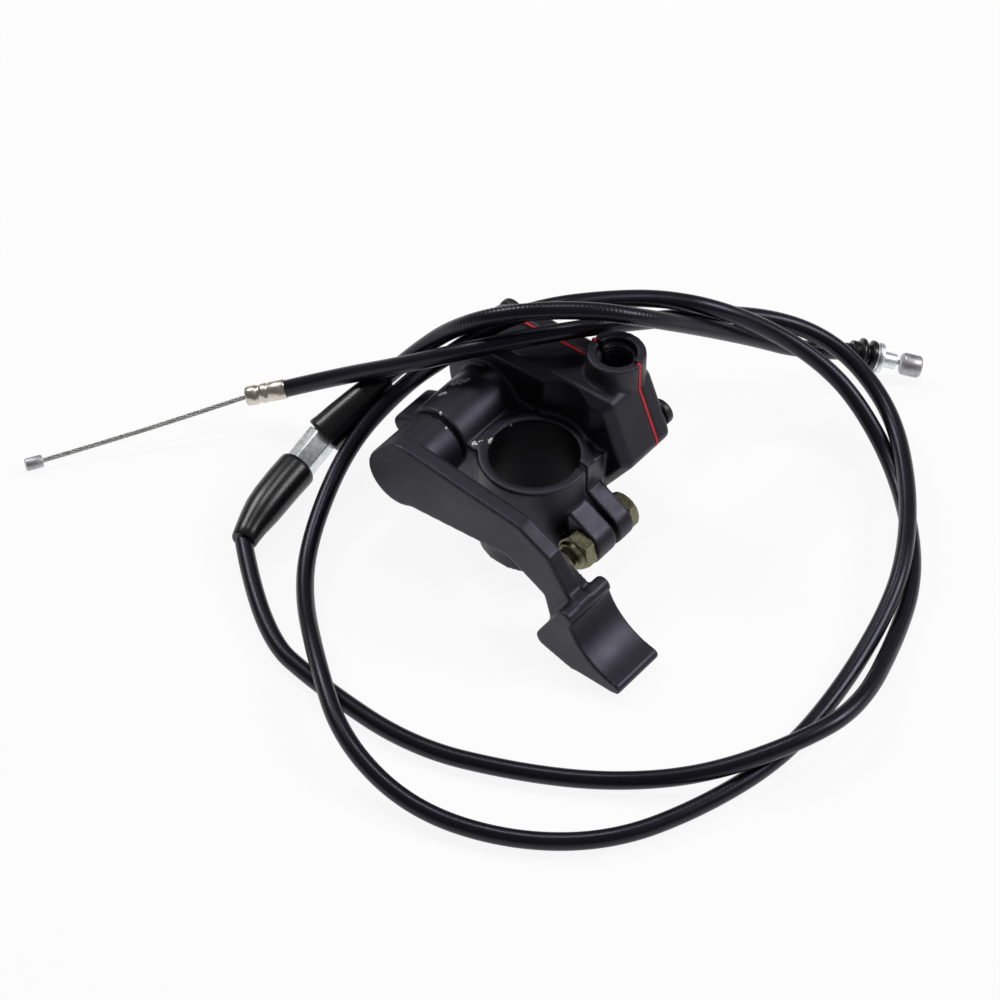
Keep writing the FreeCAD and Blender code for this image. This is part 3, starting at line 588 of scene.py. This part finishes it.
def rope_tree():
    """Inner wire: six strands laid round a core."""
    tree, given, path = path_tree("stranded_wire", ("Strand radius", "Lay length"))
    line = resampled(tree, path, 0.5 * MM)
    along = node(tree, "GeometryNodeSplineParameter").outputs["Length"]
    copies = node(tree, "GeometryNodeDuplicateElements", {"Geometry": line, "Amount": 6}, domain="SPLINE")
    turn = combine(tree, "MULTIPLY", combine(tree, "DIVIDE", along, given["Lay length"]), 2 * math.pi)
    spread = combine(tree, "MULTIPLY", copies.outputs["Duplicate Index"], math.pi / 3)
    angle = combine(tree, "ADD", turn, spread)
    normal = node(tree, "GeometryNodeInputNormal").outputs[0]
    tangent = node(tree, "GeometryNodeInputTangent").outputs[0]
    across = node(tree, "ShaderNodeVectorRotate", {"Vector": normal, "Axis": tangent, "Angle": angle})
    reach = combine(tree, "MULTIPLY", given["Strand radius"], 2.0)
    offset = node(tree, "ShaderNodeVectorMath", {0: across.outputs[0], "Scale": reach}, operation="SCALE")
    moved = node(tree, "GeometryNodeSetPosition", {"Geometry": copies.outputs[0], "Offset": offset.outputs[0]})
    every = node(tree, "GeometryNodeJoinGeometry")
    tree.links.new(moved.outputs[0], every.inputs[0])
    tree.links.new(line, every.inputs[0])
    tube = node(tree, "GeometryNodeCurveToMesh", {
        "Curve": every.outputs[0], "Profile Curve": ring_profile(tree, 8, given["Strand radius"]),
        "Fill Caps": True})
    close_tree(tree, tube.outputs[0], given)
    return tree


def grown(name, tree, path, slot, numbers):
    """Plain mesh that a geometry tree makes along a path."""
    piece = link_mesh(name, bpy.data.meshes.new(name))
    growth = piece.modifiers.new("Growth", "NODES")
    growth.node_group = tree
    given = {"Path": path, "Finish": finish_of(slot), **numbers}
    for item in tree.interface.items_tree:
        if item.in_out == "INPUT":
            growth[item.identifier] = given[item.name]
    flattened(piece)
    return piece


def line_of(curve):
    """Points along a route's curve, close together."""
    graph = bpy.context.evaluated_depsgraph_get()
    mesh = bpy.data.meshes.new_from_object(curve.evaluated_get(graph))
    points = [vertex.co.copy() for vertex in mesh.vertices]
    bpy.data.meshes.remove(mesh)
    return points


# Operators, one for each group of pieces


class THROTTLE_OT_castings(bpy.types.Operator):
    """Housing, cover and lever as soft-edged painted castings."""

    bl_idname = "throttle.castings"
    bl_label = "Build castings"

    # Chips as (x, y, z, radius) in millimetres, where the photo shows bare metal.
    HOUSING_CHIPS = (
        (-27.6, 2.3, 31.9, 0.8), (-26.8, 3.0, 32.3, 1.1), (-25.8, 4.2, 32.7, 1.1), (-24.9, 5.3, 33.0, 0.6),
        (-27.5, -2.0, 31.9, 0.9), (-26.6, -1.6, 32.3, 0.7), (-13.4, -6.4, 27.3, 0.8), (-12.2, -5.2, 27.4, 0.6),
        (-10.6, -3.2, 27.7, 0.9), (-10.2, -1.6, 27.8, 0.6), (-10.0, 3.9, 27.7, 0.5), (-22.8, -7.9, 33.1, 0.5),
    )
    LEVER_CHIPS = ((-19.4, -9.5, 31.4, 0.35),)

    # Slope of the arm down to the paddle's crest as (x, z), and the neck that spreads out to it.
    SLOPE = ((24.0, 28.7), (30.6, 18.8), (37.0, 18.8), (37.0, 31.0), (24.0, 31.0))
    SLOPE_SIDES = (-27.0, -18.0)
    NECK = (
        (23.0, -24.0, 28.6), (23.0, -20.7, 28.6), (23.0, -24.0, 16.0), (23.0, -20.7, 16.0), (31.2, -24.0, 18.2),
        (30.6, -17.2, 18.2), (31.2, -24.0, 9.0), (30.6, -17.2, 9.0),
    )

    def execute(self, context):
        for node_name, name, body, chips in (
            ("housing_body", "cast_housing", "root", self.HOUSING_CHIPS),
            ("housing_cover", "cast_cover", "root", ()),
            ("thumb_lever", "cast_lever", "lever", self.LEVER_CHIPS),
        ):
            piece = copy_of(node_name, name)
            if node_name == "thumb_lever":
                self.shape_neck(piece)
            cast(piece)
            mark_wear_and_shade(piece, chips)
            dress(piece, "black_paint", body, node_name)
        return {"FINISHED"}

    def shape_neck(self, lever):
        """Slope the arm's end down to the paddle's crest and widen it there."""
        above = [(x, y, z) for y in self.SLOPE_SIDES for x, z in self.SLOPE]
        trimmed(lever, hull("above", above), "DIFFERENCE")
        joined(lever, hull("neck", self.NECK))


class THROTTLE_OT_hardware(bpy.types.Operator):
    """Clamp bolt and nut, cover screws and the cover's gasket."""

    bl_idname = "throttle.hardware"
    bl_label = "Build hardware"

    # Round slot through the gasket at the inlet: radius, low end and high end.
    SLOT_RADIUS, SLOT_LOW, SLOT_HIGH = 6.4, 38, 49
    FLATS = 9.0
    BOLT_END, NUT_FRONT, NUT_BACK, HEAD_FRONT, HEAD_BACK = -11.0, -8.6, -3.6, 10.0, 13.2
    TIP_RADIUS, CHAMFER_RADIUS, GROOVE_RADIUS, CREST_RADIUS = 1.9, 2.5, 2.55, 2.97
    CHAMFER_LENGTH, FIRST_CREST, CREST_TO_GROOVE = 0.3, 0.5, 0.5
    NUT = ((0, 3.3), (0.05, 3.7), (0.22, 3.95), (0.26, 4.0), (0.265, 4.35), (0.38, 5.3), (0.93, 5.3), (1, 4.7))
    HEAD = ((0, 4.7), (0.1, 5.3), (0.62, 5.3), (0.86, 4.7), (0.97, 4.1), (1, 3.7))

    def execute(self, context):
        screws = softened(copy_of("cover_screws", "pan_screws"), 0.5 * MM)
        dress(screws, "black_steel", "root", "cover_screws")
        gasket = copy_of("cover_gasket", "gasket_sheet")
        slot = straight(place((INLET_X, INLET_Y, self.SLOT_LOW)), place((INLET_X, INLET_Y, self.SLOT_HIGH)))
        core = turned("core", slot, ((0, self.SLOT_RADIUS), (1, self.SLOT_RADIUS)))
        smooth_shading(trimmed(gasket, core, "DIFFERENCE"))
        dress(gasket, "red_gasket", "root", "cover_gasket")
        nut = self.hexagonal("hex_nut", self.NUT_FRONT, self.NUT_BACK, self.NUT)
        dress(nut, "olive_zinc", "root", "clamp_nut")
        bolt = self.hexagonal("hex_bolt", self.HEAD_FRONT, self.HEAD_BACK, self.HEAD)
        shank = turned("shank", self.across(self.BOLT_END, self.HEAD_FRONT), self.thread())
        dress(joined(bolt, shank), "olive_zinc", "root", "clamp_bolt")
        return {"FINISHED"}

    def across(self, front, back):
        """Stops of a line on the clamp bolt's axis, in millimetres."""
        return straight(place((BOLT_X, front, BOLT_Z)), place((BOLT_X, back, BOLT_Z)))

    def hexagonal(self, name, front, back, outline):
        """Hexagonal prism on the bolt's axis, kept inside a round outline."""
        corner = self.FLATS / math.sqrt(3)
        prism = turned(name, self.across(front, back), ((0, corner), (1, corner)), sides=6)
        dome = turned("dome", self.across(front - 0.01, back + 0.01), outline)
        smooth_shading(trimmed(prism, dome, "INTERSECT"), 20)
        return prism

    def thread(self):
        """Shank's profile: grooves as far as the nut, then plain."""
        length = self.HEAD_FRONT - self.BOLT_END
        profile = [(0, self.TIP_RADIUS), (self.CHAMFER_LENGTH / length, self.CHAMFER_RADIUS)]
        reach = self.FIRST_CREST
        while reach < self.NUT_BACK - self.BOLT_END:
            groove = (reach + self.CREST_TO_GROOVE) / length
            profile += [(reach / length, self.CREST_RADIUS), (groove, self.GROOVE_RADIUS)]
            reach += THREAD_PITCH
        return [*profile, (reach / length, self.CREST_RADIUS), (1, self.CREST_RADIUS)]


class THROTTLE_OT_casings(bpy.types.Operator):
    """The two lengths of casing along their routes."""

    bl_idname = "throttle.casings"
    bl_label = "Build casings"

    def execute(self, context):
        sizes = settings()
        for name, route, node_name, sides, height in (
            ("long_casing", LONG_ROUTE, "long_cable_casing", 16, sizes.faint_rib),
            ("short_casing", SHORT_ROUTE, "short_cable_casing", 24, sizes.rib_height),
        ):
            numbers = {"Radius": sizes.casing_radius, "Rib pitch": sizes.rib_pitch, "Rib height": height}
            curve = route_curve(name + "_route", route)
            piece = grown(name, casing_tree(sides), curve, "casing", numbers)
            dress(piece, "casing", "root", node_name)
            piece["line"] = [part for point in line_of(curve) for part in point]
            bpy.data.objects.remove(curve)
        return {"FINISHED"}


class THROTTLE_OT_wires(bpy.types.Operator):
    """The stranded inner wires at both ends."""

    bl_idname = "throttle.wires"
    bl_label = "Build inner wires"

    def execute(self, context):
        numbers = {"Strand radius": settings().wire_radius / 3, "Lay length": 9 * MM}
        lever_wire = [SHORT_ROUTE[-1], LEVER_END]
        ends = [tuple(share_of(*lever_wire, share) / MM) for share in (GROMMET_SHARE, BARE_WIRE_SHARE)]
        middle = tuple((Vector(ends[0]) + Vector(ends[1])) / 2)
        for name, route, node_name in (
            ("carb_wire", WIRE_ROUTE, "carb_inner_wire"),
            ("lever_wire", (ends[0], middle, ends[1]), "lever_inner_wire"),
        ):
            curve = route_curve(name + "_route", route)
            piece = grown(name, rope_tree(), curve, "wire_rope", numbers)
            dress(piece, "wire_rope", "root", node_name)
            piece["line"] = [part for point in line_of(curve) for part in point]
            bpy.data.objects.remove(curve)
        return {"FINISHED"}


class THROTTLE_OT_adjuster(bpy.types.Operator):
    """In-line adjuster with a rubber boot over each end, the lower one bent."""

    bl_idname = "throttle.adjuster"
    bl_label = "Build adjuster and boots"

    BENT_BOOT = (
        (0, 2.3), (0, 3.0), (0.02, 3.25), (0.1, 3.45), (0.22, 3.8), (0.34, 4.25), (0.46, 4.65),
        (0.6, 4.85), (0.8, 4.95), (0.96, 5.0), (0.99, 4.95), (1, 4.75), (1, 3.7), (0.97, 3.6),
    )
    PLAIN_BOOT = (
        (0, 2.3), (0, 3.1), (0.02, 3.35), (0.2, 3.8), (0.45, 4.3), (0.7, 4.7), (0.9, 4.9), (0.96, 5.05),
        (0.985, 5.05), (1, 4.8), (1, 3.7), (0.97, 3.6),
    )
    BEND = (-53.4, -41.0, 5.6)

    def execute(self, context):
        bent = [place(point) for point in (LONG_ROUTE[-1], self.BEND, LOWER_RIM)]
        plain_line = straight(place(SHORT_ROUTE[0]), place(UPPER_RIM))
        for name, stops, profile, node_name in (
            ("lower_rubber_boot", bent, self.BENT_BOOT, "lower_boot"),
            ("upper_rubber_boot", plain_line, self.PLAIN_BOOT, "upper_boot"),
        ):
            dress(turned(name, stops, profile), "rubber", "root", node_name)
        barrel = softened(copy_of("adjuster_sleeve", "adjuster_barrel"), 0.35 * MM)
        dress(barrel, "bright_zinc", "root", "adjuster_sleeve")
        return {"FINISHED"}


class THROTTLE_OT_end_fittings(bpy.types.Operator):
    """Nipples, crimped ferrules and the grommet at the cable's ends."""

    bl_idname = "throttle.end_fittings"
    bl_label = "Build end fittings"

    CRIMPED = (
        (0, 0.8), (0, 2.2), (0.03, 2.45), (0.26, 2.5), (0.29, 2.3), (0.33, 2.22), (0.37, 2.3),
        (0.4, 2.48), (0.52, 2.5), (0.55, 2.34), (0.58, 2.34), (0.61, 2.5), (0.97, 2.5), (1, 2.4),
        (1, 2.2),
    )
    NIPPLE = ((0.12, 0.6), (0.12, 1.45), (0.2, 1.6), (0.92, 1.6), (1, 1.45), (1, 0.8))
    GROMMET = (
        (0, 2.2), (0, 2.9), (0.05, 3.0), (0.3, 3.0), (0.34, 3.7), (0.37, 4.0), (0.43, 4.1), (0.52, 4.0),
        (0.58, 3.6), (0.64, 2.8), (0.72, 2.8), (0.77, 3.7), (0.82, 4.05), (0.9, 4.1), (1, 3.9), (1, 0.8),
    )
    FLANGED = (
        (0, 0.8), (0, 3.2), (0.04, 3.3), (0.12, 3.3), (0.13, 3.8), (0.16, 3.9), (0.29, 3.9), (0.32, 3.8),
        (0.33, 3.2), (0.36, 3.0), (0.37, 2.05), (0.96, 2.05), (1, 1.9), (1, 0.8),
    )
    BARREL = (
        (0.1, 0.7), (0.1, 2.4), (0.14, 2.7), (0.2, 2.85), (0.8, 2.85), (0.87, 2.7), (0.9, 2.5),
        (0.9, 1.6), (0.86, 1.4), (0.86, 0.5),
    )

    def execute(self, context):
        base = SHORT_ROUTE[-1]
        marks = [share_of(base, LEVER_END, share) for share in (0, GROMMET_SHARE, TUBE_SHARE, BARE_WIRE_SHARE, 1)]
        ferrule = (place(WIRE_ROUTE[-1]), place(LONG_ROUTE[0]))
        nipple = (place(CARB_NIPPLE_END), place(WIRE_ROUTE[0]))
        for name, ends, profile, slot, node_name in (
            ("crimped_ferrule", ferrule, self.CRIMPED, "nickel", "carb_ferrule"),
            ("small_nipple", nipple, self.NIPPLE, "dull_zinc", "carb_nipple"),
            ("double_grommet", marks[0:2], self.GROMMET, "rubber", "cable_grommet"),
            ("flanged_tube", marks[1:3], self.FLANGED, "bright_zinc", "lever_end_ferrule"),
            ("barrel_nipple", marks[3:5], self.BARREL, "dull_zinc", "lever_nipple"),
        ):
            piece = turned(name, straight(*ends), profile)
            dress(piece, slot, "root", node_name)
        return {"FINISHED"}


class THROTTLE_OT_stage(bpy.types.Operator):
    """White floor, soft studio light and the camera."""

    bl_idname = "throttle.stage"
    bl_label = "Set the stage"

    # Point that the camera and the lamps face, in millimetres, and the camera's distance in metres.
    TARGET = (3.67, -17.5, 28.3)
    DISTANCE = 1.0

    # Floor's half width in metres, how far it lies under the part, and its share of plain white.
    FLOOR_REACH, FLOOR_DROP, GLOW_SHARE = 3.0, 0.1 * MM, 0.9

    # Lamps as name, place and size in metres, and power in watts.
    LAMPS = (
        ("key", (0.75, 0.75, 0.9), 0.5, 8.5),
        ("left", (-0.9, 0.1, 0.9), 0.35, 5.0),
        ("top", (-0.25, 0.35, 1.3), 0.25, 3.0),
    )

    def floor(self):
        mesh = bpy.data.meshes.new("floor")
        signs = ((-1, -1), (1, -1), (1, 1), (-1, 1))
        corners = [(x * self.FLOOR_REACH, y * self.FLOOR_REACH, -self.FLOOR_DROP) for x, y in signs]
        mesh.from_pydata(corners, [], [(0, 1, 2, 3)])
        made = link_mesh("floor", mesh)
        material, tree, shader = new_material("white_floor")
        shader.inputs["Base Color"].default_value = (0.95, 0.95, 0.95, 1)
        shader.inputs["Roughness"].default_value = 0.7
        shader.inputs["Specular IOR Level"].default_value = 0.2
        seen = self.seen_ray(tree)
        glow = node(tree, "ShaderNodeEmission", {"Color": (1, 1, 1, 1), "Strength": 1.0})
        share = combine(tree, "MULTIPLY", seen, self.GLOW_SHARE)
        mixed = node(tree, "ShaderNodeMixShader", {0: share, 1: shader.outputs[0], 2: glow.outputs[0]})
        result = tree.nodes["Material Output"]
        tree.links.new(mixed.outputs[0], result.inputs["Surface"])
        mesh.materials.append(material)

    def seen_ray(self, tree):
        """One for rays that show the backdrop: straight, mirrored or through glass."""
        rays = node(tree, "ShaderNodeLightPath").outputs
        mirrored = combine(tree, "MAXIMUM", rays["Is Glossy Ray"], rays["Is Transmission Ray"])
        return combine(tree, "MAXIMUM", rays["Is Camera Ray"], mirrored)

    def sky(self, scene):
        world = bpy.data.worlds.new("studio")
        world.use_nodes = True
        scene.world = world
        tree = world.node_tree
        background = tree.nodes["Background"]
        background.inputs["Color"].default_value = (1, 1, 1, 1)
        background.inputs["Strength"].default_value = 0.15

    def lamp(self, name, position, size, power):
        lamp = bpy.data.lights.new(name, "AREA")
        lamp.shape = "SQUARE"
        lamp.size = size
        lamp.energy = power
        made = bpy.data.objects.new(name, lamp)
        made.location = position
        made.rotation_euler = (place(self.TARGET) - Vector(position)).to_track_quat("-Z", "Y").to_euler()
        bpy.context.scene.collection.objects.link(made)

    def camera(self, scene):
        sizes = settings()
        back = Vector((math.sin(sizes.azimuth) * math.cos(sizes.elevation),
                       -math.cos(sizes.azimuth) * math.cos(sizes.elevation), math.sin(sizes.elevation)))
        lens = bpy.data.cameras.new("photo_camera")
        lens.sensor_width = 36
        lens.lens = sizes.lens
        lens.clip_start = 0.05
        lens.clip_end = 20
        made = bpy.data.objects.new("photo_camera", lens)
        made.location = place(self.TARGET) + back * self.DISTANCE
        made.rotation_mode = "QUATERNION"
        made.rotation_quaternion = (-back).to_track_quat("-Z", "Y")
        scene.collection.objects.link(made)
        scene.camera = made

    def execute(self, context):
        scene = context.scene
        self.floor()
        self.sky(scene)
        for lamp in self.LAMPS:
            self.lamp(*lamp)
        self.camera(scene)
        scene.view_settings.view_transform = "Standard"
        return {"FINISHED"}


class THROTTLE_OT_running_gear(bpy.types.Operator):
    """Finishes for the inner parts that keep their CAD meshes."""

    bl_idname = "throttle.running_gear"
    bl_label = "Finish running gear"

    def execute(self, context):
        slots = {row["node"]: row["material_slot"] for row in frame["record"]["subparts"]}
        for name, item in NODES.items():
            if not item.hide_render:
                item.data.materials.clear()
                item.data.materials.append(finish_of(slots[name]))
        return {"FINISHED"}


class THROTTLE_OT_cable_facts(bpy.types.Operator):
    """Clear the stored route lines from the free cables and the lever's wire."""

    bl_idname = "throttle.cable_facts"
    bl_label = "State cable facts"

    def execute(self, context):
        sizes = settings()
        scene = bpy.data.objects
        lever_end = ["upper_rubber_boot", "double_grommet", "flanged_tube", "lever_wire", "barrel_nipple",
                     "adjuster_barrel"]
        for name, start, length, radius, lay, pieces in (
            ("long_casing", LONG_ROUTE[0], LONG_LENGTH, sizes.casing_radius, "coiled", ["lower_rubber_boot"]),
            ("short_casing", SHORT_ROUTE[0], SHORT_LENGTH, sizes.casing_radius, "loose", lever_end),
            ("carb_wire", WIRE_ROUTE[-1], WIRE_LENGTH, sizes.wire_radius, "loose",
             ["small_nipple", "crimped_ferrule"]),
        ):
            piece = scene[name]
            del piece["line"]
        del scene["lever_wire"]["line"]
        return {"FINISHED"}


class THROTTLE_PT_pieces(bpy.types.Panel):
    """Sidebar panel that lists the settings and the builders."""

    bl_idname = "THROTTLE_PT_pieces"
    bl_label = "Thumb throttle"
    bl_space_type = "VIEW_3D"
    bl_region_type = "UI"
    bl_category = "Throttle"

    def draw(self, context):
        sizes = context.scene.throttle
        for name in ThrottleSettings.__annotations__:
            self.layout.prop(sizes, name)
        for builder in BUILDERS:
            self.layout.operator(builder.bl_idname)


BUILDERS = (
    THROTTLE_OT_castings,
    THROTTLE_OT_hardware,
    THROTTLE_OT_casings,
    THROTTLE_OT_wires,
    THROTTLE_OT_adjuster,
    THROTTLE_OT_end_fittings,
    THROTTLE_OT_running_gear,
    THROTTLE_OT_cable_facts,
    THROTTLE_OT_stage,
)
CLASSES = (ThrottleSettings, *BUILDERS, THROTTLE_PT_pieces)


def register():
    for item in CLASSES:
        bpy.utils.register_class(item)
    bpy.types.Scene.throttle = PointerProperty(type=ThrottleSettings)


def unregister():
    del bpy.types.Scene.throttle
    for item in reversed(CLASSES):
        bpy.utils.unregister_class(item)


def main():
    register()
    for builder in BUILDERS:
        group, action = builder.bl_idname.split(".")
        getattr(getattr(bpy.ops, group), action)()


if __name__ == "__main__":
    main()
